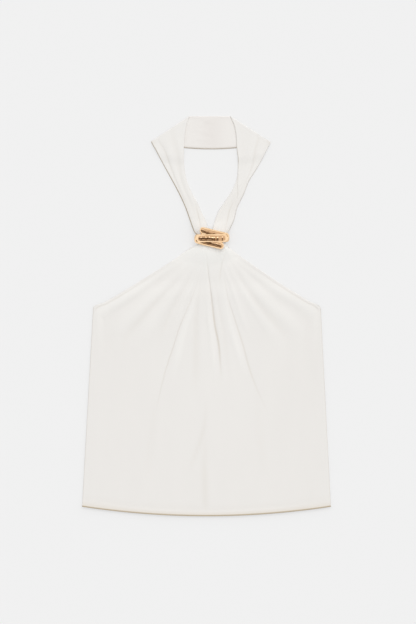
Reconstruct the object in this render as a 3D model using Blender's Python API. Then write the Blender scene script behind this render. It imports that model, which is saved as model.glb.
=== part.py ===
"""Halter-neck top laid flat, its front gathered through a cast metal ring slide.

The top lies on the surface z = 0 with its front up. +X is the viewer's right, +Y runs from the
hem to the neck and +Z is up. Sizes and tables are in millimetres, and MM turns them into metres.

Each cloth piece is a wall on a grid. Its columns run across the piece at a place u, which is -1 at
the left edge and 1 at the right edge. Its rows lie at a distance s from the middle of the ring,
measured along the middle of the piece.
"""
import math

import bmesh
import bpy
import numpy as np

MM = 0.001

# Cloth
WALL = 1.2              # thickness of one panel
GAP = 0.3               # space between two pieces at a seam
STEEPEST = 2.0          # most that a slope may thicken a wall, measured straight up
SHARP_ANGLE = 40        # degrees between two faces from which their edge shades as sharp

# Body, laid flat
UNDERARM_LEFT = (-193.6, 14.6)
UNDERARM_RIGHT = (195.3, 13.4)
HEM_LEFT = (-212.6, -325.8)
HEM_RIGHT = (212.6, -325.8)
HEM_DROP = 16.2         # how far the middle of the hem hangs below its corners
BACK_INSET = 1.0        # the back panel's edges lie this far inside the front's
BACK_TOP_DROP = 3.0     # the back's top edge lies this far below the underarm corners
STEP_DOWN = 22.0        # the front starts down to the surface this far above the back's top edge
STEP_DOWN_REACH = 30.0

# Ring slide
RING_X = 9.1
RING_Y = 132.5
RING_WIDTH = 60.5       # along X
RING_DEPTH = 22.0       # along Z, standing on the surface
BAND_HEIGHT = 15.8      # the middle band along Y, at the front
BACK_BAR_HEIGHT = 10.0  # the hidden bar along Y, at the back
END_WALL = 4.5          # thickness of the ring at its left and right ends
BACK_BAR_THICK = 4.0
FRONT_THICK = 5.8
BAR_WIDTH = 12.0        # the two slanted bars, across
BAR_THICK = 5.4         # the two slanted bars, along Z
BAR_STEP = 0.2          # the slanted bars lie this far below the middle band's front
BAR_RISE = 9.4          # height that a slanted bar gains from its root to its tip
BAR_REACH = 39.3        # length of a slanted bar along X, between the centres of its ends
BAR_TIP_X = -15.1       # tip of the upper bar from the middle of the ring
BAR_TIP_Y = 12.8
OUTER_ROUNDNESS = 0.75  # corners of the loop seen along Y: 1 is an oval, lower is squarer
INNER_ROUNDNESS = 0.5
EDGE_ROUNDNESS = 0.8    # edges of the loop's section
WIDENING = 0.8          # share of the loop's depth over which it widens to the middle band

# Gathered cloth inside the ring
THROAT_HALF_WIDTH = 24.7
BUNCH_LOW = BACK_BAR_THICK + GAP
BUNCH_HIGH = RING_DEPTH - FRONT_THICK - GAP
BUNCH_MIDDLE = (BUNCH_LOW + BUNCH_HIGH) / 2
STRAP_SPLIT_X = 6.8     # where the two straps part inside the ring
BORE_REACH = 9.0        # from the middle of the ring to just outside its bore
DROP_REACH = 13.0       # the heap's underside comes down on the surface over this distance
HEAP_REACH = 27.0       # the gathered layers are one heap this far from the ring
HEAP_FADE = 60.0        # and thin out to a single wall over this distance
FOLD_ROOT = 30.0        # a gather reaches its height this far from the ring
BUNCH_END = 6.0         # a strap keeps the section of the bunch this far from the ring
BUNCH_BLEND = 22.0      # and has its own after this distance more

# Neck band, behind the straps
BAND_LEFT = (-94.6, 296.6)
BAND_RIGHT = (109.6, 295.4)
BAND_TOP_LEFT = (-29.6, 341.4)
BAND_TOP_RIGHT = (40.6, 341.4)
BAND_SAG = 11.0         # how far the middle of its lower edge hangs
BAND_OPEN_X = 6.0       # middle of the stretch that the straps leave open
BAND_OPEN_HALF = 30.0   # wrinkles keep their height this far from there
BAND_OPEN_FADE = 10.0
WRINKLE_FADE = 0.3      # length of a wrinkle's tapered end, as a part of half the band
CLIMB = 32.0            # the straps start to climb on to the band this far below it
CLIMB_REACH = 18.0

# How finely each piece is divided
FRONT_COLUMNS = 67
FRONT_ROWS = ((0.15, 22.3, 7), (29.0, 100.3, 9), (110.0, 236.3, 11), (262.0, 474.3, 4))
STRAP_COLUMNS = 17
BACK_COLUMNS = 33
BAND_COLUMNS = 29
BAND_ROWS = 9
LOOP_PARTS = 44
LOOP_SECTION = 16
BAR_SECTION = 20
BAR_END_PARTS = 6

# Sections of the front from the ring down to the underarms. Each is an arc from the left edge to
# the right edge, which hangs by sag in its middle.
FRONT_SECTIONS = [
    # name,      s,     left_x, left_y, right_x, right_y, sag
    ("throat",   0.15,  -15.6,  132.35, 33.8,    132.35,  0.0),
    ("mouth",    8.3,   -15.4,  124.5,  33.6,    124.5,   0.5),
    ("below",    14.9,  -18.5,  119.8,  36.0,    119.0,   2.0),
    ("spread",   22.3,  -27.0,  116.0,  41.5,    114.0,   5.0),
    ("upper",    49.0,  -52.2,  98.7,   58.0,    102.0,   17.0),
    ("middle",   100.3, -91.5,  73.5,   92.0,    78.5,    44.0),
    ("lower",    158.0, -134.2, 47.0,   129.0,   53.8,    76.0),
    ("near",     215.0, -175.3, 23.0,   175.0,   25.5,    107.0),
    ("underarm", 236.3, *UNDERARM_LEFT, *UNDERARM_RIGHT,  118.0),
    ("hem",      474.3, *HEM_LEFT,      *HEM_RIGHT,       HEM_DROP),
]

# Height of the front's underside at its edges and its middle, over what it lies on.
FRONT_LIFT = [
    # name,      s,     edge, middle, roundness
    ("throat",   0.0,   8.6,  BUNCH_HIGH - WALL, 1.0),
    ("mouth",    8.3,   7.6,  12.8,   1.0),
    ("below",    14.9,  5.6,  11.6,   0.8),
    ("spread",   22.3,  3.4,  10.0,   0.6),
    ("upper",    49.0,  0.2,  5.0,    0.1),
    ("middle",   100.3, 0.0,  1.8,    0.0),
    ("lower",    158.0, 0.0,  0.7,    0.0),
    ("underarm", 236.3, 0.0,  0.0,    0.0),
    ("hem",      474.3, 0.0,  0.0,    0.0),
]

# Gathers of the front, each from the ring out to its end. Heights are negative for a hollow.
FRONT_FOLDS = [
    # name,                u_ring, u_end,  end,  height, half_width
    ("edge left",          -0.86,  -0.97,  225,  1.6,    0.075),
    ("second left",        -0.72,  -0.82,  240,  2.0,    0.080),
    ("third left",         -0.53,  -0.63,  235,  2.0,    0.080),
    ("fourth left",        -0.33,  -0.42,  160,  1.4,    0.060),
    ("panel edge left",    -0.19,  -0.29,  265,  1.6,    0.070),
    ("middle",             -0.06,  0.04,   245,  1.4,    0.060),
    ("valley",             0.05,   0.13,   255,  -2.2,   0.035),
    ("panel edge right",   0.30,   0.30,   265,  1.6,    0.065),
    ("fourth right",       0.47,   0.49,   160,  1.3,    0.050),
    ("third right",        0.60,   0.67,   230,  1.7,    0.070),
    ("second right",       0.75,   0.82,   245,  1.7,    0.075),
    ("edge right",         0.88,   0.97,   235,  1.5,    0.060),
]

# Sections of each strap from the ring up to the fold at the shoulder. The gaps beside the split
# keep the two straps apart inside the ring.
LEFT_STRAP = [
    # name,     s,     outer_x, outer_y, inner_x, inner_y
    ("throat",  0.15,  -15.6,   132.65,  STRAP_SPLIT_X - GAP / 2, 132.65),
    ("mouth",   8.0,   -16.0,   140.4,   6.3,     141.0),
    ("above",   19.0,  -22.8,   149.8,   1.9,     153.0),
    ("rising",  29.0,  -27.4,   161.6,   -1.5,    161.8),
    ("lower",   48.0,  -35.4,   183.0,   -11.1,   177.8),
    ("spread",  65.0,  -43.1,   200.9,   -18.0,   193.2),
    ("middle",  83.0,  -51.3,   217.2,   -29.2,   212.0),
    ("upper",   107.0, -61.9,   236.8,   -37.1,   239.6),
    ("high",    132.0, -73.7,   258.2,   -38.5,   266.8),
    ("band",    150.0, -81.9,   273.6,   -38.5,   285.9),
    ("top",     166.0, -88.1,   285.6,   -37.3,   304.4),
    ("corner",  178.0, -92.2,   292.4,   -35.1,   321.5),
    ("fold",    188.0, -94.9,   297.9,   -29.2,   342.0),
]
RIGHT_STRAP = [
    # name,     s,     inner_x, inner_y, outer_x, outer_y
    ("throat",  0.15,  STRAP_SPLIT_X + GAP / 2, 132.65, 33.8, 132.65),
    ("mouth",   8.0,   8.3,     141.0,   34.2,    140.4),
    ("above",   19.0,  11.3,    153.0,   41.4,    151.0),
    ("rising",  29.0,  13.3,    159.9,   46.2,    164.2),
    ("lower",   48.0,  19.0,    176.6,   50.4,    183.0),
    ("spread",  68.0,  33.3,    198.9,   62.2,    207.8),
    ("middle",  91.0,  46.7,    221.1,   72.7,    230.3),
    ("upper",   112.0, 53.0,    243.3,   83.8,    247.9),
    ("high",    134.0, 53.8,    267.4,   94.9,    266.8),
    ("band",    152.0, 51.7,    285.9,   102.9,   282.7),
    ("top",     166.0, 51.0,    304.4,   106.2,   289.0),
    ("corner",  178.0, 48.7,    321.5,   108.2,   292.8),
    ("fold",    188.0, 40.2,    342.0,   109.8,   297.2),
]

# Height of a strap's underside at its edges and its middle, over what it lies on.
STRAP_LIFT = [
    # name,     s,     edge, middle, roundness
    ("throat",  0.0,   8.6,  BUNCH_HIGH - WALL, 1.0),
    ("mouth",   8.0,   7.4,  12.6,   0.9),
    ("above",   19.0,  4.2,  10.4,   0.5),
    ("rising",  32.0,  1.2,  6.0,    0.2),
    ("lower",   60.0,  0.0,  2.4,    0.0),
    ("middle",  110.0, 0.0,  1.0,    0.0),
    ("fold",    188.0, 0.0,  0.5,    0.0),
]

# Highest that the gathered cloth may stand, in the bore and under the slanted bars.
HEADROOM = [
    # name,     s,     top
    ("ring",    22.0,  BUNCH_HIGH),
    ("free",    32.0,  RING_DEPTH),
]

LEFT_STRAP_FOLDS = [
    # name,        u_ring, u_end, end, height, half_width
    ("outer",      -0.55,  -0.72, 175, 1.7,    0.24),
    ("inner",      0.10,   -0.12, 170, 1.9,    0.26),
    ("rim",        0.70,   0.55,  150, 1.5,    0.24),
]
RIGHT_STRAP_FOLDS = [
    ("rim",        -0.70,  -0.60, 150, 1.4,    0.22),
    ("inner",      -0.10,  0.12,  165, 2.0,    0.26),
    ("outer",      0.55,   0.78,  180, 1.8,    0.22),
]

# Soft wrinkles across the neck band, from its left end.
BAND_WRINKLES = [
    # name,     u_left, u_right, height above the lower edge (0 to 1), height, half_width
    ("upper",   -0.75,  0.20,    0.74,   0.7,    0.16),
    ("middle",  -0.85,  0.55,    0.46,   0.6,    0.14),
    ("lower",   -0.50,  0.80,    0.20,   0.5,    0.12),
]

COLOURS = {
    # name:   colour,              roughness, metallic
    "cloth":  ((0.84, 0.82, 0.79), 0.85,      0.0),
    "gold":   ((0.83, 0.60, 0.33), 0.16,      1.0),
}


def clear_scene():
    for old in list(bpy.data.objects):
        bpy.data.objects.remove(old, do_unlink=True)


def material(name):
    colour, roughness, metallic = COLOURS[name.split("_")[-1]]
    made = bpy.data.materials.new(name)
    made.use_nodes = True
    shader = made.node_tree.nodes["Principled BSDF"]
    shader.inputs["Base Color"].default_value = (*colour, 1.0)
    shader.inputs["Roughness"].default_value = roughness
    shader.inputs["Metallic"].default_value = metallic
    return made


def soft_step(value):
    """0 below 0, 1 above 1 and a smooth rise between."""
    held = np.clip(value, 0.0, 1.0)
    return held * held * (3.0 - 2.0 * held)


def read_rows(table, s):
    """The table's columns after s, at each distance s, on straight lines between rows."""
    stops = [row[1] for row in table]
    return [np.interp(s, stops, [row[k] for row in table]) for k in range(2, len(table[0]))]


def fold_heights(folds, u, s):
    """Sum of the gathers at each place. A gather grows out of the ring and dies away at its end."""
    total = np.zeros_like(u)
    for _, u_ring, u_end, end, height, half_width in folds:
        along = np.clip(s / end, 0.0, 1.0)
        middle = u_ring + (u_end - u_ring) * along
        across = np.clip(np.abs(u - middle) / half_width, 0.0, 1.0)
        shape = 0.5 + 0.5 * np.cos(math.pi * across)
        fade = 1.0 - soft_step((s / end - 0.25) / 0.75)
        total += height * shape * soft_step(s / FOLD_ROOT) * fade
    return total


def arch(lift_table, u, s):
    """Height of a piece's underside from its lift table: round in the ring, a low arch outside."""
    edge, middle, roundness = read_rows(lift_table, s)
    round_shape = np.sqrt(np.clip(1.0 - u ** 4, 0.0, 1.0))
    low_shape = np.clip(1.0 - u * u, 0.0, 1.0) ** 1.5
    return edge + (middle - edge) * (roundness * round_shape + (1.0 - roundness) * low_shape)


def upright_wall(x, y, under):
    """Thickness to add straight up, so that a sloping wall stays WALL thick across its slope."""
    down = [np.gradient(grid, axis=0) for grid in (x, y, under)]
    right = [np.gradient(grid, axis=1) for grid in (x, y, under)]
    normal = np.cross(np.stack(right, axis=-1), np.stack(down, axis=-1))
    length = np.linalg.norm(normal, axis=-1)
    slant = length / np.maximum(np.abs(normal[..., 2]), length / STEEPEST)
    return WALL * slant


def bunch_underside(top, s):
    """Underside of the gathered cloth: the top mirrored in the bore, then down on the surface."""
    mirrored = 2.0 * BUNCH_MIDDLE - top
    return np.maximum(mirrored, BUNCH_LOW) * (1.0 - soft_step((s - BORE_REACH) / DROP_REACH))


def band_faces(made, first, second):
    """A band of faces between two closed rows of points."""
    for k in range(len(first)):
        after = (k + 1) % len(first)
        made.faces.new((first[k], first[after], second[after], second[k]))


def finished_mesh(made, name):
    bmesh.ops.recalc_face_normals(made, faces=made.faces)
    mesh = bpy.data.meshes.new(name)
    made.to_mesh(mesh)
    made.free()
    return mesh


def cloth_object(name, x, y, low, high):
    """A closed wall between two grids of points, with its four sides walled up."""
    rows, columns = x.shape
    made = bmesh.new()
    layers = []
    for z in (low, high):
        layers.append([[made.verts.new((x[r, c] * MM, y[r, c] * MM, z[r, c] * MM))
                        for c in range(columns)] for r in range(rows)])
    below, above = layers
    for r in range(rows - 1):
        for c in range(columns - 1):
            made.faces.new((above[r][c], above[r + 1][c], above[r + 1][c + 1], above[r][c + 1]))
            made.faces.new((below[r][c], below[r][c + 1], below[r + 1][c + 1], below[r + 1][c]))
    rim = [(0, c) for c in range(columns - 1)] + [(r, columns - 1) for r in range(rows - 1)]
    rim += [(rows - 1, c) for c in range(columns - 1, 0, -1)] + [(r, 0) for r in range(rows - 1, 0, -1)]
    for (r0, c0), (r1, c1) in zip(rim, rim[1:] + rim[:1]):
        made.faces.new((above[r0][c0], above[r1][c1], below[r1][c1], below[r0][c0]))
    mesh = finished_mesh(made, name)
    mesh.shade_smooth()
    mesh.set_sharp_from_angle(angle=math.radians(SHARP_ANGLE))
    return place(name, mesh, "cloth")


def place(name, mesh, finish):
    made = bpy.data.objects.new(name, mesh)
    mesh.materials.append(material(f"{name}_{finish}"))
    bpy.context.scene.collection.objects.link(made)
    return made


def gathered_wall(name, grid, across, level, lift_table, folds):
    """A cloth piece that leaves the ring as one bunch and spreads into a single wall."""
    x, y, u, s = grid
    relief = np.maximum(arch(lift_table, across, s) + fold_heights(folds, u, s), 0.0)
    under = level + relief
    top = np.minimum(under + upright_wall(x, y, under), read_rows(HEADROOM, s)[0])
    spread_out = soft_step((s - HEAP_REACH) / HEAP_FADE)
    low = bunch_underside(top, s) * (1.0 - spread_out) + under * spread_out
    cloth_object(name, x, y, np.minimum(low, top - WALL), top)


def make_front():
    """The front panel, from the ring down to the hem."""
    stops = np.concatenate([np.linspace(*part) for part in FRONT_ROWS])
    u, s = np.meshgrid(np.linspace(-1.0, 1.0, FRONT_COLUMNS), stops)
    left_x, left_y, right_x, right_y, sag = read_rows(FRONT_SECTIONS, s)
    along = (u + 1.0) / 2.0
    x = left_x + (right_x - left_x) * along
    y = left_y + (right_y - left_y) * along - sag * (1.0 - u * u)
    past_back = y - (UNDERARM_RIGHT[1] - BACK_TOP_DROP)
    level = (WALL + GAP) * (1.0 - soft_step((past_back - STEP_DOWN) / STEP_DOWN_REACH))
    gathered_wall("front", (x, y, u, s), u, level, FRONT_LIFT, FRONT_FOLDS)


def make_back():
    """The back panel, flat on the surface under the front."""
    inset = BACK_INSET
    across = np.linspace(-1.0, 1.0, BACK_COLUMNS)
    half = (HEM_RIGHT[0] - HEM_LEFT[0]) / 2.0 - inset
    hem = [(half * u, HEM_LEFT[1] + inset - HEM_DROP * (1.0 - u * u)) for u in across]
    top = [(UNDERARM_RIGHT[0] - inset, UNDERARM_RIGHT[1] - BACK_TOP_DROP),
           (UNDERARM_LEFT[0] + inset, UNDERARM_RIGHT[1] - BACK_TOP_DROP)]
    made = bmesh.new()
    outline = [made.verts.new((x * MM, y * MM, 0.0)) for x, y in hem + top]
    face = made.faces.new(outline)
    grown = bmesh.ops.extrude_face_region(made, geom=[face])
    raised = [v for v in grown["geom"] if isinstance(v, bmesh.types.BMVert)]
    bmesh.ops.translate(made, vec=(0.0, 0.0, WALL * MM), verts=raised)
    place("back", finished_mesh(made, "back"), "cloth")


def band_low_edge(x):
    """Y of the neck band's lower edge at each x."""
    middle = (BAND_LEFT[0] + BAND_RIGHT[0]) / 2.0
    half = (BAND_RIGHT[0] - BAND_LEFT[0]) / 2.0
    straight = (BAND_LEFT[1] + BAND_RIGHT[1]) / 2.0
    return straight - BAND_SAG * (1.0 - np.clip((x - middle) / half, -1.0, 1.0) ** 2)


def make_strap(name, sections, folds):
    """A strap, from the ring up on to the neck band."""
    stops = [row[1] for row in sections]
    between = [(first + second) / 2.0 for first, second in zip(stops, stops[1:])]
    u, s = np.meshgrid(np.linspace(-1.0, 1.0, STRAP_COLUMNS), sorted(stops + between))
    left_x, left_y, right_x, right_y = read_rows(sections, s)
    along = (u + 1.0) / 2.0
    x = left_x + (right_x - left_x) * along
    y = left_y + (right_y - left_y) * along
    in_bore = np.clip((x - RING_X) / THROAT_HALF_WIDTH, -1.0, 1.0)
    in_ring = 1.0 - soft_step((s - BUNCH_END) / BUNCH_BLEND)
    across = in_bore * in_ring + u * (1.0 - in_ring)
    level = (WALL + GAP) * soft_step((y - band_low_edge(x) + CLIMB) / CLIMB_REACH)
    gathered_wall(name, (x, y, u, s), across, level, STRAP_LIFT, folds)


def make_neck_band():
    """A flat band with a level underside. Soft wrinkles raise only its upper face."""
    u, v = np.meshgrid(np.linspace(-1.0, 1.0, BAND_COLUMNS), np.linspace(0.0, 1.0, BAND_ROWS))
    along = (u + 1.0) / 2.0
    low_x = BAND_LEFT[0] + (BAND_RIGHT[0] - BAND_LEFT[0]) * along
    high_x = BAND_TOP_LEFT[0] + (BAND_TOP_RIGHT[0] - BAND_TOP_LEFT[0]) * along
    high_y = BAND_TOP_LEFT[1] + (BAND_TOP_RIGHT[1] - BAND_TOP_LEFT[1]) * along
    low_y = band_low_edge(low_x)
    x = low_x + (high_x - low_x) * v
    y = low_y + (high_y - low_y) * v
    wrinkles = np.zeros_like(u)
    for _, u_left, u_right, place_up, height, half_width in BAND_WRINKLES:
        starts = soft_step((u - u_left) / WRINKLE_FADE)
        ends = soft_step((u_right - u) / WRINKLE_FADE)
        across = np.clip(np.abs(v - place_up) / half_width, 0.0, 1.0)
        wrinkles += height * starts * ends * (0.5 + 0.5 * np.cos(math.pi * across))
    shows = 1.0 - soft_step((np.abs(x - BAND_OPEN_X) - BAND_OPEN_HALF) / BAND_OPEN_FADE)
    cloth_object("neck_band", x, y, np.zeros_like(u), WALL + wrinkles * shows)


def power_wave(value, power):
    """A cosine or sine value drawn out towards a corner, for a rounded box or an oval."""
    return math.copysign(abs(value) ** power, value)


def ring_loop():
    """The closed loop: an oval seen along Y, whose section is a rounded band."""
    outer_half, outer_deep = RING_WIDTH / 2.0, RING_DEPTH / 2.0
    inner_half = outer_half - END_WALL
    inner_deep = (RING_DEPTH - BACK_BAR_THICK - FRONT_THICK) / 2.0
    inner_z = BACK_BAR_THICK + inner_deep
    made = bmesh.new()
    rings = []
    for a in range(LOOP_PARTS):
        turn = 2.0 * math.pi * a / LOOP_PARTS
        c, d = math.cos(turn), math.sin(turn)
        outer = (outer_half * power_wave(c, OUTER_ROUNDNESS),
                 outer_deep + outer_deep * power_wave(d, OUTER_ROUNDNESS))
        inner = (inner_half * power_wave(c, INNER_ROUNDNESS),
                 inner_z + inner_deep * power_wave(d, INNER_ROUNDNESS))
        front = soft_step((d + 1.0) / 2.0 / WIDENING)
        half_height = (BACK_BAR_HEIGHT + (BAND_HEIGHT - BACK_BAR_HEIGHT) * front) / 2.0
        loop = []
        for b in range(LOOP_SECTION):
            angle = 2.0 * math.pi * b / LOOP_SECTION
            out = 0.5 + 0.5 * power_wave(math.cos(angle), EDGE_ROUNDNESS)
            up = half_height * power_wave(math.sin(angle), EDGE_ROUNDNESS)
            x = inner[0] + (outer[0] - inner[0]) * out
            z = inner[1] + (outer[1] - inner[1]) * out
            loop.append(made.verts.new(((RING_X + x) * MM, (RING_Y + up) * MM, z * MM)))
        rings.append(loop)
    for first, second in zip(rings, rings[1:] + rings[:1]):
        band_faces(made, first, second)
    return finished_mesh(made, "ring")


def bar_stations():
    """The two half-round ends of a bar as rows of way, bow and radius. way is -1 or 1, and bow and
    radius are parts of the bar's half width."""
    turns = [k * math.pi / 2.0 / BAR_END_PARTS for k in range(BAR_END_PARTS)]
    right = [(1.0, math.sin(turn), math.cos(turn)) for turn in turns]
    left = [(-1.0, -bow, radius) for _, bow, radius in reversed(right)]
    return left + right


def slanted_bar(name, side):
    """A bar with round ends. side is 1 for the upper bar and -1 for the lower one, turned by half."""
    half_width, half_thick = BAR_WIDTH / 2.0, BAR_THICK / 2.0
    slope = -math.atan2(BAR_RISE, BAR_REACH)
    half_length = math.hypot(BAR_RISE, BAR_REACH) / 2.0
    middle = (RING_X + side * (BAR_TIP_X + BAR_REACH / 2.0),
              RING_Y + side * (BAR_TIP_Y - BAR_RISE / 2.0),
              RING_DEPTH - half_thick - BAR_STEP)

    def point(along, across, up):
        return ((middle[0] + along * math.cos(slope) - across * math.sin(slope)) * MM,
                (middle[1] + along * math.sin(slope) + across * math.cos(slope)) * MM,
                (middle[2] + up) * MM)

    made = bmesh.new()
    turns = [2.0 * math.pi * k / BAR_SECTION for k in range(BAR_SECTION)]
    rings = []
    for way, bow, radius in bar_stations():
        along = way * half_length + bow * half_width
        rings.append([made.verts.new(point(along, half_width * radius * math.cos(turn),
                                           half_thick * radius * math.sin(turn))) for turn in turns])
    for first, second in zip(rings, rings[1:]):
        band_faces(made, first, second)
    for loop, way in ((rings[0], -1.0), (rings[-1], 1.0)):
        tip = made.verts.new(point(way * (half_length + half_width), 0.0, 0.0))
        for k in range(BAR_SECTION):
            made.faces.new((loop[k], loop[(k + 1) % BAR_SECTION], tip))
    mesh = finished_mesh(made, name)
    bar = bpy.data.objects.new(name, mesh)
    bpy.context.scene.collection.objects.link(bar)
    bar.hide_render = True
    bar.display_type = "WIRE"
    return bar


def make_ring():
    """The loop and its two slanted bars, joined into one casting."""
    ring = place("ring", ring_loop(), "gold")
    for name, side in (("upper_bar", 1), ("lower_bar", -1)):
        join = ring.modifiers.new(name, "BOOLEAN")
        join.operation = "UNION"
        join.solver = "EXACT"
        join.object = slanted_bar(name, side)
    ring.data.shade_smooth()


def main():
    clear_scene()
    make_back()
    make_front()
    make_strap("strap_left", LEFT_STRAP, LEFT_STRAP_FOLDS)
    make_strap("strap_right", RIGHT_STRAP, RIGHT_STRAP_FOLDS)
    make_neck_band()
    make_ring()


main()
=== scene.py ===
import math

import bpy
import numpy as np
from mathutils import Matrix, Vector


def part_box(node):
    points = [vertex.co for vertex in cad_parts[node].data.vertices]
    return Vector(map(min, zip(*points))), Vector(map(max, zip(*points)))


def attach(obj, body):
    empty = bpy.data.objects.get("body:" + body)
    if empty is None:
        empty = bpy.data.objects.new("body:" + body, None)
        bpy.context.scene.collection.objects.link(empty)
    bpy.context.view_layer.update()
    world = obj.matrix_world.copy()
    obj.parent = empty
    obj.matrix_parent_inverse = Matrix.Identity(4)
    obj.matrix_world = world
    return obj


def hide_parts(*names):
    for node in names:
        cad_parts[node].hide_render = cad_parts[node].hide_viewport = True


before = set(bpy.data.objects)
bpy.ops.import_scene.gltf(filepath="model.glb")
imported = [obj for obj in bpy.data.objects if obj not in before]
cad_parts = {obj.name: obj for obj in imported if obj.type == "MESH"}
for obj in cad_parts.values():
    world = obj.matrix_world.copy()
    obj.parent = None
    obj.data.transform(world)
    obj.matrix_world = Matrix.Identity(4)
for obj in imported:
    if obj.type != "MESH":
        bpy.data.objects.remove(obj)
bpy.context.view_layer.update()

# A white halter-neck top laid flat on a pale table, gathered through a polished gold ring slide.
# Sizes and tables are in millimetres, and MM turns them into metres. Every cloth piece is a thin
# shell on a grid: u runs across it from -1 to 1, and s is the distance from the middle of the ring
# along the middle of the piece.

MM = 0.001

# ---- sizes ----
WALL = 1.2  # one panel of double crepe
GAP = 0.3  # between two layers that lie on each other
STEEPEST = 2.0  # most that a slope may thicken a wall, measured straight up

RING_LOW, RING_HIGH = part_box("ring")
RING_X = (RING_LOW.x + RING_HIGH.x) / 2.0 / MM
RING_WIDTH = (RING_HIGH.x - RING_LOW.x) / MM
RING_DEPTH = RING_HIGH.z / MM
RING_Y = 132.5
BAND_HEIGHT = 13.8  # middle band of the ring along Y
LOOP_WALL = 5.4  # thickness of the ring's loop
LOOP_POINTS = 28  # round the loop's section
END_STEPS = 20  # round each end of the loop
STRAIGHT_STEPS = 14  # along each straight side of it
MERGE = 0.05  # closer points of the loop are joined
LOOP_CROWN = 0.9  # how far the middle band swells towards its middle
CROWN_STEPS = (0.15, 0.3, 0.45, 0.6, 0.75)
END_ROUNDING = ((23.0, 0.98), (25.5, 0.96), (27.5, 0.93), (29.0, 0.9), (29.9, 0.85))
BACK_BAR_SHARE = 0.7  # height of the hidden back bar, as a share of the band
BACK_BAR_STEPS = (3.0, 4.6, 6.2, 7.8, 9.4, 11.0)
BAR_WIDTH = 12.0  # slanted bars, across
BAR_THICK = 5.2
BAR_RISE = 9.4
BAR_REACH = 38.7
BAR_TIP = (-14.9, 12.8)  # centre of the upper bar's free end, from the middle of the ring
BAR_TOP_GAP = 0.5  # how far a bar's crown lies under the band's
BAR_LEAN = 3.4  # degrees by which a bar dives under the band's end
FUSE_SIZE = 0.4  # grain of the mesh that joins loop and bars
POLISH_ROUNDS = 8
MELT_SIZE = 13.0  # cast metal is slightly uneven at this size
MELT_DEPTH = 0.6

BORE_MIDDLE = 10.1  # height of the middle of the ring's bore
BORE_REACH = 9.0  # how far along s the ring holds the cloth up
BUNCH_HIGH = 15.0  # the gathered bunch inside the ring
BUNCH_LOW = 6.0
THROAT_HALF_WIDTH = 23.8
CEILING_STATIONS = (0.0, 22.0, 34.0)
CEILING_HEIGHTS = (BUNCH_HIGH, BUNCH_HIGH, RING_DEPTH)

UNDERARM_LEFT = (-193.6, 14.6)
UNDERARM_RIGHT = (195.3, 13.4)
HEM_LEFT = (-212.6, -325.8)
HEM_RIGHT = (212.6, -325.8)
HEM_SAG = 16.2
HEM_S = 474.3
UNDERARM_S = 236.3
UNDERARM_SAG = 118.0
SIDE_S = 241.0  # just past the underarm, where the side seam runs straight
BACK_TOP = UNDERARM_RIGHT[1] - 3.0
BACK_INSET = 1.0  # how far the back's sides and hem lie inside the front's
TURNING = 4.4  # width of the turned and pressed armhole edge
TURNING_STEP = 0.3  # how far it stands up, and how far its stitches sink
STITCH_WIDTH = 0.9
HEM_STEP = 0.2  # how far the hem's turning stands up
HEM_CURL = 3.0  # how far the hem stands off the back panel
HEM_CURL_REACH = 10.0

STRAP_S = 188.0  # from the middle of the ring to the shoulder fold
BAND_LEFT = (-94.6, 296.6)
BAND_RIGHT = (109.6, 295.4)
BAND_TOP_LEFT = (-29.6, 341.4)
BAND_TOP_RIGHT = (40.6, 341.4)
BAND_SAG = 11.0
BAND_PLUMP = 0.8  # how much thicker the band is where it shows
COVER_CLEARANCE = 0.6  # bare edge of the band beside the straps that cover it
BAND_SLOPES = (4.0, 2.2)  # over which it swells beside the left and the right strap

# Where something grows or dies away, as start and length: along s
ARMHOLE_GROWTH = (30.0, 170.0)
ARMHOLE_END = (UNDERARM_S - 2.0, 4.0)
SEAM_GROWTH = (20.0, 40.0)
WAVE_GROWTH = (60.0, 80.0)
THROAT_END = (6.0, 22.0)
ROLL_GROWTH = (BORE_REACH, 6.0)
CLOSING_GROWTH = (BORE_REACH, 9.0)
HEAP_DROP = (BORE_REACH, 13.0)  # the bunch's underside drops to the table
HEAP_SPREAD = (27.0, 60.0)  # the solid heap opens out into a thin sheet
# and past the back or the band, or in from an edge
OFF_THE_BACK = (22.0, 30.0)  # past the back's top the front drops to the table
ONTO_THE_BAND = (-32.0, 18.0)
HEM_TURNING = (10.5, 1.5)
FOLD_FLATTENING = (-4.5, 6.0)
STRAP_CLOSING = (0.5, 3.0)
BAND_EDGE = (0.0, 8.0)
WRINKLE_EDGE = (0.0, 5.0)

# Rolled edges: how far in they start to fall, and the share of the thickness that they fall
FRONT_SIDE_ROLL = (0.7, 0.6)
FRONT_HEM_ROLL = (2.2, 0.97)
BACK_ROLL = (0.6, 0.5)
STRAP_END_ROLL = (0.9, 0.8)
STRAP_SIDE_FALL = 0.95
BAND_LOW_ROLL = (2.0, 0.97)
BAND_ROLL = (1.0, 0.95)

# Grid lines of the front and the straps: distances of the closest ones from an edge or the end,
# rows as (start, count) of each stretch, and columns beside and between the lines of the creases
FRONT_RIM = (0.0, 0.1, 0.35, 0.8, 1.5, 2.6)
FRONT_COLUMNS = (56, 42, 28, 50)
FRONT_ROWS = ((0.2, 26), (22.0, 66), (130.0, 48), (260.0, 54))
FRONT_LAST_ROWS = (4.0, 2.8, 1.9, 1.2, 0.7, 0.3, 0.08, 0.0)
STRAP_RIM = (0.0, 0.1, 0.35, 0.8, 1.5)
STRAP_COLUMNS = (38, 38)
STRAP_ROWS = ((0.2, 34), (30.0, 120))
STRAP_LAST_ROWS = (4.0, 2.6, 1.5, 0.8, 0.3, 0.0)
STRAP_LINE_LIMIT = 0.75  # share of the half-width that bounds the lines of columns


def between(start, end, share):
    return tuple(a + (b - a) * share for a, b in zip(start, end))


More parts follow.
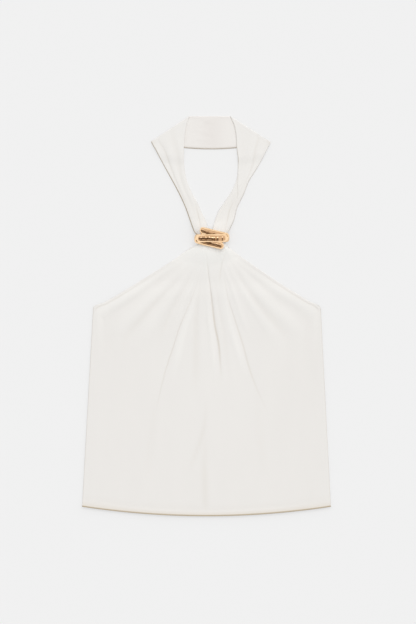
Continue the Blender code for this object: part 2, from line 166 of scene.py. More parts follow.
SIDE_SHARE = (SIDE_S - UNDERARM_S) / (HEM_S - UNDERARM_S)
FRONT_SECTIONS = [
    # name,      s,     left_x, left_y, right_x, right_y, sag
    ("throat",   0.2,   -14.7,  132.3,  32.9,    132.3,   0.0),
    ("mouth",    8.3,   -15.1,  124.5,  33.3,    124.5,   0.5),
    ("below",    14.9,  -18.5,  119.8,  36.0,    119.0,   2.0),
    ("spread",   22.3,  -27.0,  116.0,  41.5,    114.0,   5.0),
    ("upper",    49.0,  -52.2,  98.7,   58.0,    102.0,   17.0),
    ("middle",   100.3, -91.5,  73.5,   92.0,    78.5,    44.0),
    ("lower",    158.0, -134.2, 47.0,   129.0,   53.8,    76.0),
    ("near",     215.0, -175.3, 23.0,   175.0,   25.5,    107.0),
    ("underarm", UNDERARM_S, *UNDERARM_LEFT, *UNDERARM_RIGHT, UNDERARM_SAG),
    ("side",     SIDE_S, *between(UNDERARM_LEFT, HEM_LEFT, SIDE_SHARE),
     *between(UNDERARM_RIGHT, HEM_RIGHT, SIDE_SHARE), *between((UNDERARM_SAG,), (HEM_SAG,), SIDE_SHARE)),
    ("hem",      HEM_S, *HEM_LEFT, *HEM_RIGHT, HEM_SAG),
]

FRONT_LIFT = [
    # name,      s,     edge, middle, roundness
    ("throat",   0.0,   8.4,  BUNCH_HIGH - WALL, 1.0),
    ("mouth",    8.3,   7.6,  12.8,   1.0),
    ("below",    14.9,  5.6,  12.6,   0.8),
    ("spread",   22.3,  3.4,  11.2,   0.6),
    ("upper",    49.0,  0.2,  5.3,    0.1),
    ("middle",   100.3, 0.0,  1.8,    0.0),
    ("lower",    158.0, 0.0,  0.7,    0.0),
    ("underarm", UNDERARM_S, 0.0, 0.0, 0.0),
    ("hem",      HEM_S, 0.0,  0.0,    0.0),
]

# Creases. Each crosses its piece's stations at the given places, in millimetres from the middle
# line of the piece. It grows from start, dies away at end, and its half-width goes from near to
# far. Ridges stand up and hollows sink; grooves are sharp; a step stands higher on its right side.
# tone is how much painted highlight a ridge gets, and how much painted shade the others get.
FRONT_STATIONS = (25.0, 60.0, 110.0, 180.0, 236.0)
FRONT_CREASES = [
    # name,             kind,     places,                      start, end, height, near, far,  tone
    ("edge left",       "ridge",  (-22, -55, -91, -140, -185), 20,    300, 1.4,    3.0,  11.0, 0.26),
    ("second left",     "ridge",  (-18, -41, -73, -117, -154), 20,    280, 1.5,    3.5,  20.0, 0.14),
    ("second dip left", "hollow", (-17, -41, -68, -108, -143), 50,    260, 0.5,    2.6,  8.0,  0.05),
    ("third left",      "ridge",  (-14, -31, -56, -91, -120),  20,    262, 1.4,    3.4,  18.0, 0.10),
    ("third dip left",  "hollow", (-12, -25, -47, -74, -97),   30,    220, 0.5,    2.6,  8.0,  0.04),
    ("fourth left",     "ridge",  (-11, -18, -35, -56, -74),   20,    190, 0.7,    2.6,  9.0,  0.05),
    ("panel ridge",     "ridge",  (-8, -11, -21, -41, -57),    60,    268, 0.8,    3.0,  11.0, 0.24),
    ("panel hollow",    "hollow", (-8, -11, -16, -16, -20),    40,    280, 1.0,    2.6,  12.0, 0.07),
    ("middle",          "ridge",  (-10, -5, 2, 11, 13),        60,    262, 0.8,    3.0,  7.0,  0.12),
    ("right bank",      "hollow", (-2, 8, 20, 33, 37),         40,    255, 0.6,    2.6,  8.0,  0.04),
    ("short fold",      "groove", (27, 22, 21, 21, 21),        16,    88,  0.5,    1.2,  1.6,  0.12),
    ("right panel",     "ridge",  (10, 21, 31, 48, 62),        60,    268, 0.8,    3.0,  10.0, 0.16),
    ("fourth right",    "ridge",  (18, 30, 48, 72, 93),        20,    200, 0.6,    2.6,  9.0,  0.05),
    ("third right",     "ridge",  (21, 38, 62, 98, 128),       20,    262, 0.8,    3.2,  13.0, 0.12),
    ("third dip right", "hollow", (23, 42, 68, 107, 140),      50,    250, 0.4,    2.4,  8.0,  0.05),
    ("second right",    "ridge",  (25, 48, 77, 119, 158),      20,    280, 1.1,    3.2,  16.0, 0.18),
    ("edge right",      "ridge",  (29, 54, 90, 140, 185),      20,    300, 1.0,    3.0,  12.0, 0.20),
]
LINE_STATIONS = (25.0, 60.0, 110.0, 146.0, 190.0, 238.0, 340.0)
VALLEY_PLACES = (-6.8, 1.5, 9.8, 16.1, 23.2, 24.0, 24.0)
LINE_CREASES = [
    # name,         kind,     places,                               start, end, height, near, far, tone
    ("panel left",  "step",   (-8, -13, -27, -39, -53.5, -70, -93), 30,    335, 0.8,    1.0,  1.3, 0.20),
    ("valley",      "groove", VALLEY_PLACES,                        52,    250, 3.1,    1.3,  2.8, 0.39),
    ("panel right", "groove", (16, 26, 37, 49, 61.5, 72.5, 112),    40,    335, 0.8,    1.0,  2.0, 0.18),
]
VALLEY_TOP = [
    # name,         kind,     places,        start, end, height, near, far, tone
    ("valley top",  "groove", VALLEY_PLACES, 6,     120, 0.9,    1.1,  1.7, 0.12),
]
HEM_STATIONS = (250.0, 320.0, 390.0, 470.0)
HEM_CREASES = [
    # name,        kind,     places,                start, end, height, near, far,  tone
    ("slanting",   "groove", (2, -4.5, -26, -46),   262,   412, 0.8,    3.6,  4.6,  0.08),
    ("upright",    "groove", (-2, -2, -3.8, -1.2),  320,   512, 0.8,    4.2,  7.5,  0.09),
    ("left side",  "hollow", (-82, -90, -99, -106), 250,   440, 0.5,    9.0,  16.0, 0.02),
    ("right side", "hollow", (82, 88, 95, 102),     250,   430, 0.5,    9.0,  16.0, 0.02),
]

LEFT_STRAP = [
    # name,     s,     outer_x, outer_y, inner_x, inner_y
    ("throat",  0.2,   -14.7,   132.7,   6.6,     132.7),
    ("inside",  5.5,   -15.5,   137.9,   6.4,     138.3),
    ("mouth",   8.0,   -19.3,   140.6,   6.3,     141.0),
    ("above",   19.0,  -23.8,   149.8,   1.9,     153.0),
    ("rising",  29.0,  -27.9,   161.6,   -0.6,    161.8),
    ("lower",   48.0,  -35.4,   183.0,   -8.4,    177.8),
    ("spread",  65.0,  -43.1,   200.9,   -15.0,   193.2),
    ("middle",  83.0,  -51.3,   217.2,   -25.6,   212.0),
    ("upper",   107.0, -61.9,   236.8,   -35.4,   239.6),
    ("high",    132.0, -73.7,   258.2,   -38.5,   266.8),
    ("band",    150.0, -81.9,   273.6,   -38.5,   285.9),
    ("top",     166.0, -88.1,   285.6,   -37.3,   304.4),
    ("corner",  178.0, -92.2,   292.4,   -35.1,   321.5),
    ("fold",    STRAP_S, -94.9, 297.9,   -29.2,   342.0),
]
RIGHT_STRAP = [
    # name,     s,     inner_x, inner_y, outer_x, outer_y
    ("throat",  0.2,   7.0,     132.7,   32.9,    132.7),
    ("inside",  5.5,   7.7,     138.3,   33.5,    137.9),
    ("mouth",   8.0,   8.3,     141.0,   35.2,    140.4),
    ("above",   19.0,  11.3,    153.0,   41.4,    151.0),
    ("rising",  29.0,  13.3,    159.9,   47.4,    164.2),
    ("lower",   48.0,  19.0,    176.6,   52.0,    183.0),
    ("spread",  68.0,  33.3,    198.9,   63.8,    207.8),
    ("middle",  91.0,  46.7,    221.1,   72.7,    230.3),
    ("upper",   112.0, 53.0,    243.3,   83.8,    247.9),
    ("high",    134.0, 53.8,    267.4,   94.9,    266.8),
    ("band",    152.0, 51.7,    285.9,   102.9,   282.7),
    ("top",     166.0, 51.0,    304.4,   106.2,   289.0),
    ("corner",  178.0, 48.7,    321.5,   108.2,   292.8),
    ("fold",    STRAP_S, 40.2,  342.0,   109.8,   297.2),
]
STRAP_LIFT = [
    # name,     s,     edge, middle, roundness
    ("throat",  0.0,   8.4,  BUNCH_HIGH - WALL, 1.0),
    ("mouth",   8.0,   7.4,  12.4,   1.0),
    ("above",   19.0,  5.4,  9.0,    0.9),
    ("rising",  32.0,  2.6,  5.4,    0.8),
    ("lower",   60.0,  1.0,  2.4,    0.6),
    ("middle",  110.0, 0.4,  1.2,    0.4),
    ("fold",    STRAP_S, 0.0, 0.5,   0.0),
]
STRAP_STATIONS = (20.0, 60.0, 100.0, 150.0, 186.0)
LEFT_STRAP_CREASES = [
    # name,          kind,     places,                           start, end, height, near, far, tone
    ("outer fold",   "groove", (-10.5, -10.5, -6.0, -9.5, -22.5), 30,   225, 0.5,    1.3,  2.2, 0.12),
    ("outer ridge",  "ridge",  (-5.5, -6.0, -3.0, -2.5, -9.5),    6,    205, 0.5,    3.6,  9.0, 0.06),
    ("soft fold",    "hollow", (-1.0, 0.0, 4.0, 9.5, 5.0),        12,   220, 0.3,    3.4,  8.0, 0.04),
    ("inner ridge",  "ridge",  (4.0, 5.0, 7.5, 17.0, 20.0),       6,    210, 0.4,    3.6,  8.0, 0.06),
    ("ring fold",    "groove", (1.0, 8.0, 14.0, 20.0, 20.0),      6,    66,  0.5,    1.3,  1.8, 0.20),
]
RIGHT_STRAP_CREASES = [
    # name,          kind,     places,                           start, end, height, near, far, tone
    ("upper layer",  "step",   (17.0, 7.8, -11.0, -26.0, -45.0),  34,   150, 0.6,    1.1,  1.4, 0.12),
    ("ring fold",    "groove", (5.5, 3.5, 1.0, 1.0, 1.0),         6,    70,  0.4,    1.4,  1.8, 0.18),
    ("ring ridge",   "ridge",  (-3.6, -4.0, -4.0, 0.0, 0.0),      6,    130, 0.4,    3.6,  8.0, 0.05),
    ("outer fold",   "groove", (14.0, 14.5, 7.0, 6.2, 13.0),      62,   225, 0.5,    1.3,  2.2, 0.10),
    ("outer ridge",  "ridge",  (9.0, 9.5, 2.5, 0.0, 4.0),         6,    210, 0.4,    3.4,  9.0, 0.05),
    ("rim ridge",    "ridge",  (13.0, 13.5, 11.6, 17.0, 29.0),    60,   220, 0.4,    2.6,  7.0, 0.06),
]
PLUMP_STATIONS = (20.0, 60.0, 150.0, STRAP_S)
PLUMP_HEIGHTS = (0.0, 0.6, 0.6, 0.3)  # how far the strap's sides are puffed up
PLUMP_REACH = 5.0
# Edges of the straps: how far they roll over, and how dark their painted shade is along the strap
STRAP_ROLLS = {
    # strap:  (left edge, right edge)
    "left":   (2.1, 0.9),
    "right":  (0.9, 1.6),
}
SHADE_STATIONS = (60.0, 90.0, 112.0, 136.0, 150.0, 163.0, 180.0)
STRAP_SHADES = {
    # strap:  (left edge, right edge)
    "left":   ((1.60, 1.45, 1.15, 0.95, 0.95, 0.95, 0.95), (0.0, 0.0, 0.0, 0.0, 0.0, 0.0, 0.0)),
    "right":  ((0.0, 0.0, 0.0, 0.56, 0.34, 0.06, 0.16), (0.40, 0.40, 0.36, 0.14, 0.10, 0.10, 0.10)),
}
WRINKLE_END = 0.3  # share of the band's half-width over which a wrinkle dies away
BAND_WRINKLES = [
    # name,     u_left, u_right, up,   height, half_width
    ("upper",   -0.30,  0.20,    0.86, 0.40,   0.12),
    ("middle",  -0.45,  -0.02,   0.55, 0.28,   0.10),
    ("lower",   -0.45,  0.05,    0.30, 0.22,   0.10),
]

# Colours, as linear values
CREPE = (0.815, 0.795, 0.767)
CREPE_PALER = (0.935, 0.930, 0.900)  # mixed in by the whitening: painted light near the ring, painted highlight on ridges, paler cloth elsewhere
CREPE_PAINTED_SHADE = (0.48, 0.40, 0.29)  # painted shade, in folds and grooves and along edges
CREPE_INSIDE = (0.812, 0.780, 0.750)
RING_PAINTED_LIGHT = (1.10, 42.0)  # painted light: cloth painted whiter near the ring, where it lies in shade: how much, and how far along s
MIDDLE_WHITENESS = (0.14, 380.0, 0.62)  # down the middle of the front: and how far along s and u
STRAP_WHITENESS = 0.14
BAND_WHITENESS = 0.26  # at the band's sides, past its middle's place and width
BAND_MIDDLE = (8.0, 22.0)
HEM_SHADES = ((2.2, 3.0), (0.46, 9.5), (0.10, 22.0))  # depth and reach of the hem's shades
SEAM_SHADE = 0.22
ARMHOLE_PALENESS = 0.8  # how much of the seam's shade the armhole lacks
STITCH_SHADE = 0.17
RING_SIDE_SHADE = (0.06, 85.0)  # on the straps near the ring
CORNER_SHADE = (0.16, 8.0)  # on the straps' outer corners
BAND_SHADE = (0.9, 2.6)
BACK_SHADE = 0.1
GOLD = (0.91, 0.66, 0.42)
GOLD_DEEP = (0.85, 0.57, 0.32)
TABLE = (0.87, 0.87, 0.87)
PAPER_WHITE = 0.8714  # the table as the camera sees it, where nothing shades it
PAPER_SHARE = 0.60  # share of that which shadows don't reach

# Finishes. Noise sizes are turns in a metre. A pair is a factor and a base, or for a bump its
# strength and its depth in millimetres.
CREPE_GRAIN = 1500.0
CREPE_SLUBS = 26.0
SLUB_STRETCH = (1.0, 0.25, 1.0)
SLUB_SHADE = (0.03, 0.985)
CREPE_ROUGHNESS = (0.16, 0.76)
CREPE_BUMP = (0.22, 0.12)
GOLD_CLOUDS = 160.0
GOLD_STOPS = (0.25, 0.55)
GOLD_ROUGHNESS = (0.08, 0.07)
GOLD_BUMP = (0.15, 0.2)
TABLE_SIZE = 40.0  # metres
TABLE_DROP = -0.2

# Camera, straight above the middle of the picture
CAMERA_PLACE = (2.6, 6.8, 4000.0)
FRAME_TALL = 1067.0
SENSOR = 36.0

# Lights. Directions point from the garment to the light.
KEY_FROM = (0.22, 0.92, 1.7)
KEY_POWER = 0.95
KEY_SPREAD = 45.0  # degrees across, for soft shadow edges
FILL_TOWARDS = (0.25, 0.90)  # side of the room that is brighter
FILL_DARK = 0.45
FILL_BRIGHT = 1.06

# What polished metal sees overhead. Each pair says where a smooth edge starts and ends: the rig's
# edge in height, the strips' and its far part's in tilt, the others in distance to the side.
ROOM_SEEN = 1.10
RIG_EDGE = (0.71, 0.86)
RIG_DEPTH = 1.01
RIG_TINT = (1.0, 0.66, 0.42, 1.0)
STRIP_EDGES = ((0.08, 0.15), (0.38, 0.28))
LAMP_PLACE = 0.01  # the middle of the strip's bright lamp, to the side
LAMP_EDGE = (0.045, 0.01)
LAMP_MIDDLE = 1.35
LAMP_ENDS = 0.70
LOW_STRIP_EDGES = ((-0.18, -0.24), (-0.42, -0.34))
LOW_LAMP_EDGE = (0.05, -0.03)
LOW_LAMP = 0.45
BESIDE_RIGHT = (0.03, 0.15)
BESIDE_FAR = (0.28, 0.42)
RIG_BESIDE = -0.60  # change of the rig's depth there
LAMP_BESIDE = -0.55
TINT_BESIDE = -0.55

# ---- numbers ----
GROOVE_POWER = 1.2  # below 2, for a sharp bottom
STEP_SHARPNESS = 1.8
STEP_TAIL = 12.0  # over which the high side of a step sinks back
STEP_DIP = 0.25  # small hollow at the foot of a step
STEP_DIP_PLACE = -0.9
SHADE_NARROWING = 1.5  # the shade inside a groove is narrower than the groove
SOFT_RUN = (0.55, 0.66)  # shares of a crease's length: where it is full, and starts to die
SHARP_RUN = (0.5, 0.6)
PLEATS = (5.3, 8.2, 11.1, 14.0, 16.9)
PLEAT_UNEVENNESS = 0.7
PLEAT_SHIFTS = (3.1, 1.7)  # turns of the unevenness and of the pleats from one wave to the next
PLEAT_FADE = 0.6  # each finer wave is lower
PLEAT_DRIFT = 0.02
PLEAT_START = 6.0
WAVE_LENGTHS = (46.0, 63.0, 80.0, 97.0, 114.0, 131.0)
WAVE_TURN = 2.4  # angle between one wave and the next


def soft_step(value):
    held = np.clip(value, 0.0, 1.0)
    return held * held * (3.0 - 2.0 * held)


def rising(value, start, length):
    return soft_step((value - start) / length)


def falling(value, start, length):
    return 1.0 - rising(value, start, length)


def smooth_curve(at, stops, values):
    """A smooth curve through the values that never overshoots them, held level past both ends."""
    stops, values = np.asarray(stops, float), np.asarray(values, float)
    gaps = np.diff(stops)
    slopes = np.diff(values) / gaps
    tangents = np.zeros_like(values)
    tangents[0], tangents[-1] = slopes[0], slopes[-1]
    for k in range(1, len(stops) - 1):
        if slopes[k - 1] * slopes[k] > 0.0:
            before, after = 2.0 * gaps[k] + gaps[k - 1], gaps[k] + 2.0 * gaps[k - 1]
            tangents[k] = (before + after) / (before / slopes[k - 1] + after / slopes[k])
    held = np.clip(at, stops[0], stops[-1])
    part = np.clip(np.searchsorted(stops, held, side="right") - 1, 0, len(stops) - 2)
    t = (held - stops[part]) / gaps[part]
    rise = soft_step(t)
    return (values[part] * (1.0 - rise) + values[part + 1] * rise
            + gaps[part] * t * (1.0 - t) * ((1.0 - t) * tangents[part] - t * tangents[part + 1]))


def read_rows(table, s):
    stops = [row[1] for row in table]
    return [smooth_curve(s, stops, [row[k] for row in table]) for k in range(2, len(table[0]))]


def crease_shape(kind, offset):
    """Height of one crease across its line, for offsets in its own half-widths."""
    if kind in ("ridge", "hollow"):
        swell = 0.5 + 0.5 * np.cos(math.pi * np.clip(offset, -1.0, 1.0))
        return swell if kind == "ridge" else -swell
    if kind == "groove":
        return -np.exp(-np.abs(offset) ** GROOVE_POWER)
    rise = 0.5 + 0.5 * np.tanh(STEP_SHARPNESS * offset)
    dip = STEP_DIP * np.exp(-(offset - STEP_DIP_PLACE) ** 2)
    return rise * np.exp(-np.maximum(offset, 0.0) / STEP_TAIL) - dip


def crease_field(creases, stations, across, s):
    """Relief of all the creases, the painted highlight on their ridges and the painted shade inside the
    others.
    """
    relief, pale, painted_shade = np.zeros_like(s), np.zeros_like(s), np.zeros_like(s)
    for _, kind, places, start, end, height, near, far, tone in creases:
        width = near + (far - near) * np.clip((s - stations[0]) / (stations[-1] - stations[0]), 0.0, 1.0)
        offset = (across - smooth_curve(s, stations, places)) / width
        passed = (s - start) / (end - start)
        full, dying = SOFT_RUN if kind in ("ridge", "hollow") else SHARP_RUN
        strength = rising(passed, 0.0, full) * falling(passed, dying, 1.0 - dying)
        shape = crease_shape(kind, offset)
        relief += height * shape * strength
        # Ridges get painted highlight; hollows, grooves and steps get painted shade.
        if kind == "ridge":
            pale = np.maximum(pale, tone * shape * strength)
        else:
            inside = -shape if kind == "hollow" else np.exp(-offset * offset * SHADE_NARROWING)
            painted_shade = np.maximum(painted_shade, tone * inside * strength)
    return relief, pale, painted_shade


def ripples(u, s, reach, height, seed):
    """Many small uneven pleats that die away from the ring."""
    total = np.zeros_like(u)
    for k, pleats in enumerate(PLEATS):
        turns = pleats + PLEAT_UNEVENNESS * math.sin(seed + PLEAT_SHIFTS[0] * k)
        drift = PLEAT_SHIFTS[1] * k * seed + PLEAT_DRIFT * s * math.cos(seed + k)
        total += np.sin(turns * math.pi * u + drift) / (1.0 + PLEAT_FADE * k)
    return height * total / 2.0 * soft_step(s / PLEAT_START) * np.exp(-s / reach)


def soft_waves(x, y, height, seed):
    """The slight unevenness of cloth that lies on a table."""
    total = np.zeros_like(x)
    for k, length in enumerate(WAVE_LENGTHS):
        turn = seed + WAVE_TURN * k
        total += np.sin((x * math.cos(turn) + y * math.sin(turn)) * 2.0 * math.pi / length + turn)
    return height * total / 2.5


def arch(lift_table, across, s):
    """Lift of the cloth across a piece, between a full arch at the ring and a low one past it."""
    edge, middle, roundness = read_rows(lift_table, s)
    round_shape = np.sqrt(np.clip(1.0 - across ** 4, 0.0, 1.0))
    low_shape = np.clip(1.0 - across * across, 0.0, 1.0) ** 1.5
    return edge + (middle - edge) * (roundness * round_shape + (1.0 - roundness) * low_shape)


def above_zero(value, softness=0.25):
    return 0.5 * (value + np.sqrt(value * value + softness * softness))


# ---- grids ----
def even_shares(edges, first, count):
    """Shares from 0 to 1: the given ones at both ends, and even ones from first to 1 - first."""
    edges = np.array(edges)
    return np.concatenate((edges, np.linspace(first, 1.0 - first, count), 1.0 - edges[::-1]))


def grid_rows(stretches, end, last_rows):
    """Even steps along each stretch, then the last rows at their distances from the end."""
    starts = [start for start, _ in stretches]
    stops = starts[1:] + [end - last_rows[0]]
    runs = [np.linspace(start, stop, count, endpoint=False)
            for (start, count), stop in zip(stretches, stops)]
    return np.concatenate((*runs, end - np.array(last_rows)))


def clustered(knots, counts, pull=0.62):
    """Places between the knots, closer together beside each knot. knots is one row per knot."""
    columns = []
    for first, second, count in zip(knots, knots[1:], counts):
        t = np.linspace(0.0, 1.0, count, endpoint=False)
        t = t - pull * np.sin(2.0 * math.pi * t) / (2.0 * math.pi)
        columns += [first + (second - first) * share for share in t]
    return np.stack(columns + [knots[-1]], axis=1)


def grid_columns(half, rim, lines, counts):
    """Columns across a piece, closer together at its edges and beside its main crease lines."""
    rim = [offset / half for offset in rim]
    inside = clustered([-1.0 + rim[-1], *lines, 1.0 - rim[-1]], counts)
    left = np.stack([-1.0 + share for share in rim[:-1]], axis=1)
    right = np.stack([1.0 - share for share in rim[-2::-1]], axis=1)
    return np.concatenate((left, inside, right), axis=1)


def spread(left, right, u):
    """Each row's points between its left and right end."""
    return left[:, None] + (right - left)[:, None] * (u + 1.0) / 2.0


def side_distances(x, y):
    """Distances of each grid point from the first and last row and from the left and right column."""
    place = np.stack((x, y), axis=-1)
    found = []
    for side in (place[0], place[-1], place[:, 0], place[:, -1]):
        corners = side[np.unique(np.linspace(0, len(side) - 1, 50).astype(int))]
        nearest = np.full(x.shape, np.inf)
        for start, run in zip(corners, np.diff(corners, axis=0)):
            share = np.clip(((place - start) @ run) / max(run @ run, 1e-9), 0.0, 1.0)
            nearest = np.minimum(nearest, np.linalg.norm(place - start - share[..., None] * run, axis=-1))
        found.append(nearest)
    return found


# ---- cloth meshes ----
def mode(name):
    bpy.ops.object.mode_set(mode=name)


def only(made):
    bpy.ops.object.select_all(action="DESELECT")
    made.select_set(True)
    bpy.context.view_layer.objects.active = made


def roll(distance, thick, reach, share):
    """How far a rolled edge has fallen, by distance from the edge, in a quarter of an oval."""
    held = np.clip(distance / reach, 0.0, 1.0)
    return thick * share * (1.0 - np.sqrt(1.0 - (1.0 - held) ** 2))


# Painted shade along an edge, darkest at it and gone at reach.
def edge_shade(distance, strength, reach=1.7):
    return strength * np.clip(1.0 - distance / reach, 0.0, 1.0)


def wall_top(x, y, under, s):
    """Top of a wall that is WALL thick square to its slope, held down near the ring."""
    down = [np.gradient(grid, axis=0) for grid in (x, y, under)]
    right = [np.gradient(grid, axis=1) for grid in (x, y, under)]
    normal = np.cross(np.stack(right, axis=-1), np.stack(down, axis=-1))
    length = np.linalg.norm(normal, axis=-1)
    slant = length / np.maximum(np.abs(normal[..., 2]), length / STEEPEST)
    return np.minimum(under + WALL * slant, np.interp(s, CEILING_STATIONS, CEILING_HEIGHTS))


def filled_underside(top, under, s):
    """Underside of a bunch in the ring, of a heap on the table beside it, and of a sheet past that."""
    bunch = np.maximum(2.0 * BORE_MIDDLE - top, BUNCH_LOW)
    heap = bunch * falling(s, *HEAP_DROP)
    spread_out = rising(s, *HEAP_SPREAD)
    return np.minimum(heap * (1.0 - spread_out) + under * spread_out, top - WALL)


def shell(name, x, y, low, top, layers, crease):
    """A closed shell between two grids, keeping its whitening, with painted light, and its painted shade
    as attributes for its finish.
    """
    rows, columns = x.shape
    count = rows * columns
    upper_points = np.stack((x, y, top), axis=-1).reshape(-1, 3)
    lower_points = np.stack((x, y, low), axis=-1).reshape(-1, 3)
    points = np.concatenate((upper_points, lower_points)) * MM
    index = np.arange(count).reshape(rows, columns)
    a, b, c, d = index[:-1, :-1], index[1:, :-1], index[1:, 1:], index[:-1, 1:]
    upper = np.stack((a, b, c, d), axis=-1).reshape(-1, 4)
    lower = np.stack((a, d, c, b), axis=-1).reshape(-1, 4) + count
    rim = np.concatenate((index[0, :-1], index[:-1, -1], index[-1, :0:-1], index[:0:-1, 0]))
    after = np.roll(rim, -1)
    sides = np.stack((rim, after, after + count, rim + count), axis=-1)
    mesh = bpy.data.meshes.new(name)
    mesh.from_pydata(points.tolist(), [], np.concatenate((upper, lower, sides)).tolist())
    for key, values in (("layers", layers), ("crease", crease)):
        kept = mesh.attributes.new(key, "FLOAT", "POINT")
        kept.data.foreach_set("value", np.tile(values.ravel(), 2).astype(np.float32))
    mesh.validate()
    mesh.update()
    mesh.shade_smooth()
    made = bpy.data.objects.new(name, mesh)
    bpy.context.scene.collection.objects.link(made)
    only(made)
    mode("EDIT")
    bpy.ops.mesh.select_all(action="SELECT")
    bpy.ops.mesh.normals_make_consistent(inside=False)
    mode("OBJECT")
    return made


def front_panel():
    s_rows = grid_rows(FRONT_ROWS, HEM_S, FRONT_LAST_ROWS)
    left_x, left_y, right_x, right_y, sag = read_rows(FRONT_SECTIONS, s_rows)
    half = (right_x - left_x) / 2.0
    lines = [smooth_curve(s_rows, LINE_STATIONS, line[2]) / half for line in LINE_CREASES]
    u = grid_columns(half, FRONT_RIM, lines, FRONT_COLUMNS)
    s = np.repeat(s_rows[:, None], u.shape[1], axis=1)
    x = spread(left_x, right_x, u)
    y = spread(left_y, right_y, u) - sag[:, None] * (1.0 - u * u)
    _, hem_away, left_away, right_away = side_distances(x, y)
    side_away = np.minimum(left_away, right_away)
    above_underarm = falling(s, *ARMHOLE_END)
    armhole = above_underarm * rising(s, *ARMHOLE_GROWTH)
    stitched = np.exp(-((side_away - TURNING) / STITCH_WIDTH) ** 2) * armhole

    relief = arch(FRONT_LIFT, u, s)
    # Painted light near the ring, and paler cloth down the middle of the front.
    whiteness, reach = RING_PAINTED_LIGHT
    layers = whiteness * np.exp(-(s / reach) ** 2)
    whiteness, reach, width = MIDDLE_WHITENESS
    layers += whiteness * np.exp(-(s / reach) ** 2 - (u / width) ** 2)
    # Creases add painted highlight on ridges and painted shade inside the others.
    painted_shades = []
    for creases, stations in ((FRONT_CREASES, FRONT_STATIONS), (LINE_CREASES, LINE_STATIONS),
                              (VALLEY_TOP, LINE_STATIONS), (HEM_CREASES, HEM_STATIONS)):
        folds, pale, painted_shade = crease_field(creases, stations, u * half[:, None], s)
        relief += folds
        layers += pale
        painted_shades.append(painted_shade)
    relief += ripples(u, s, reach=24.0, height=0.4, seed=1.3)
    relief += soft_waves(x, y, height=0.10, seed=0.7) * rising(s, *WAVE_GROWTH)
    relief += TURNING_STEP * soft_step(TURNING - side_away) * armhole - TURNING_STEP * stitched
    relief += HEM_STEP * falling(hem_away, *HEM_TURNING)
    relief = above_zero(relief) * rising(side_away, *FOLD_FLATTENING)

    level = (WALL + GAP) * falling(y - BACK_TOP, *OFF_THE_BACK)
    level += HEM_CURL * (1.0 - hem_away / HEM_CURL_REACH).clip(0.0) ** 2
    under = level + relief
    top = wall_top(x, y, under, s)
    low = filled_underside(top, under, s)
    thick = top - low
    side_roll = roll(side_away, thick, *FRONT_SIDE_ROLL) * rising(s, *ROLL_GROWTH)
    top = top - np.maximum(side_roll, roll(hem_away, thick, *FRONT_HEM_ROLL))

    seam = 1.0 - ARMHOLE_PALENESS * above_underarm * rising(s, *SEAM_GROWTH)
    # Painted shade along the hem, the sides and the armhole's stitched groove.
    painted_shades += [edge_shade(hem_away, strength, reach) for strength, reach in HEM_SHADES]
    painted_shades += [edge_shade(side_away, SEAM_SHADE) * seam, STITCH_SHADE * stitched * armhole]
    return shell("front_panel", x, y, low, top, layers, np.maximum.reduce(painted_shades))


def back_panel():
    half_top = (UNDERARM_RIGHT[0] - UNDERARM_LEFT[0]) / 2.0 - BACK_INSET
    half_hem = (HEM_RIGHT[0] - HEM_LEFT[0]) / 2.0 - BACK_INSET
    middle_top = (UNDERARM_RIGHT[0] + UNDERARM_LEFT[0]) / 2.0
    side_edges = np.array((0.0, 0.4, 1.2, 2.4)) / (2.0 * half_hem)
    u, v = np.meshgrid(2.0 * even_shares(side_edges, 0.01, 80) - 1.0,
                       even_shares((0.0, 0.001, 0.004, 0.008), 0.02, 40))
    half = half_top + (half_hem - half_top) * v
    x = middle_top * (1.0 - v) + half * u
    y = BACK_TOP + (HEM_LEFT[1] + BACK_INSET - HEM_SAG * (1.0 - u * u) - BACK_TOP) * v
    edge = np.minimum.reduce(side_distances(x, y))
    rounding = roll(edge, WALL, *BACK_ROLL)
    plain = np.zeros_like(x)
    # Painted shade along the back's edges.
    return shell("back_panel", x, y, rounding, WALL - rounding, plain, edge_shade(edge, BACK_SHADE))


def band_low_edge(x):
    middle = (BAND_LEFT[0] + BAND_RIGHT[0]) / 2.0
    half = (BAND_RIGHT[0] - BAND_LEFT[0]) / 2.0
    straight = (BAND_LEFT[1] + BAND_RIGHT[1]) / 2.0
    return straight - BAND_SAG * (1.0 - np.clip((x - middle) / half, -1.0, 1.0) ** 2)


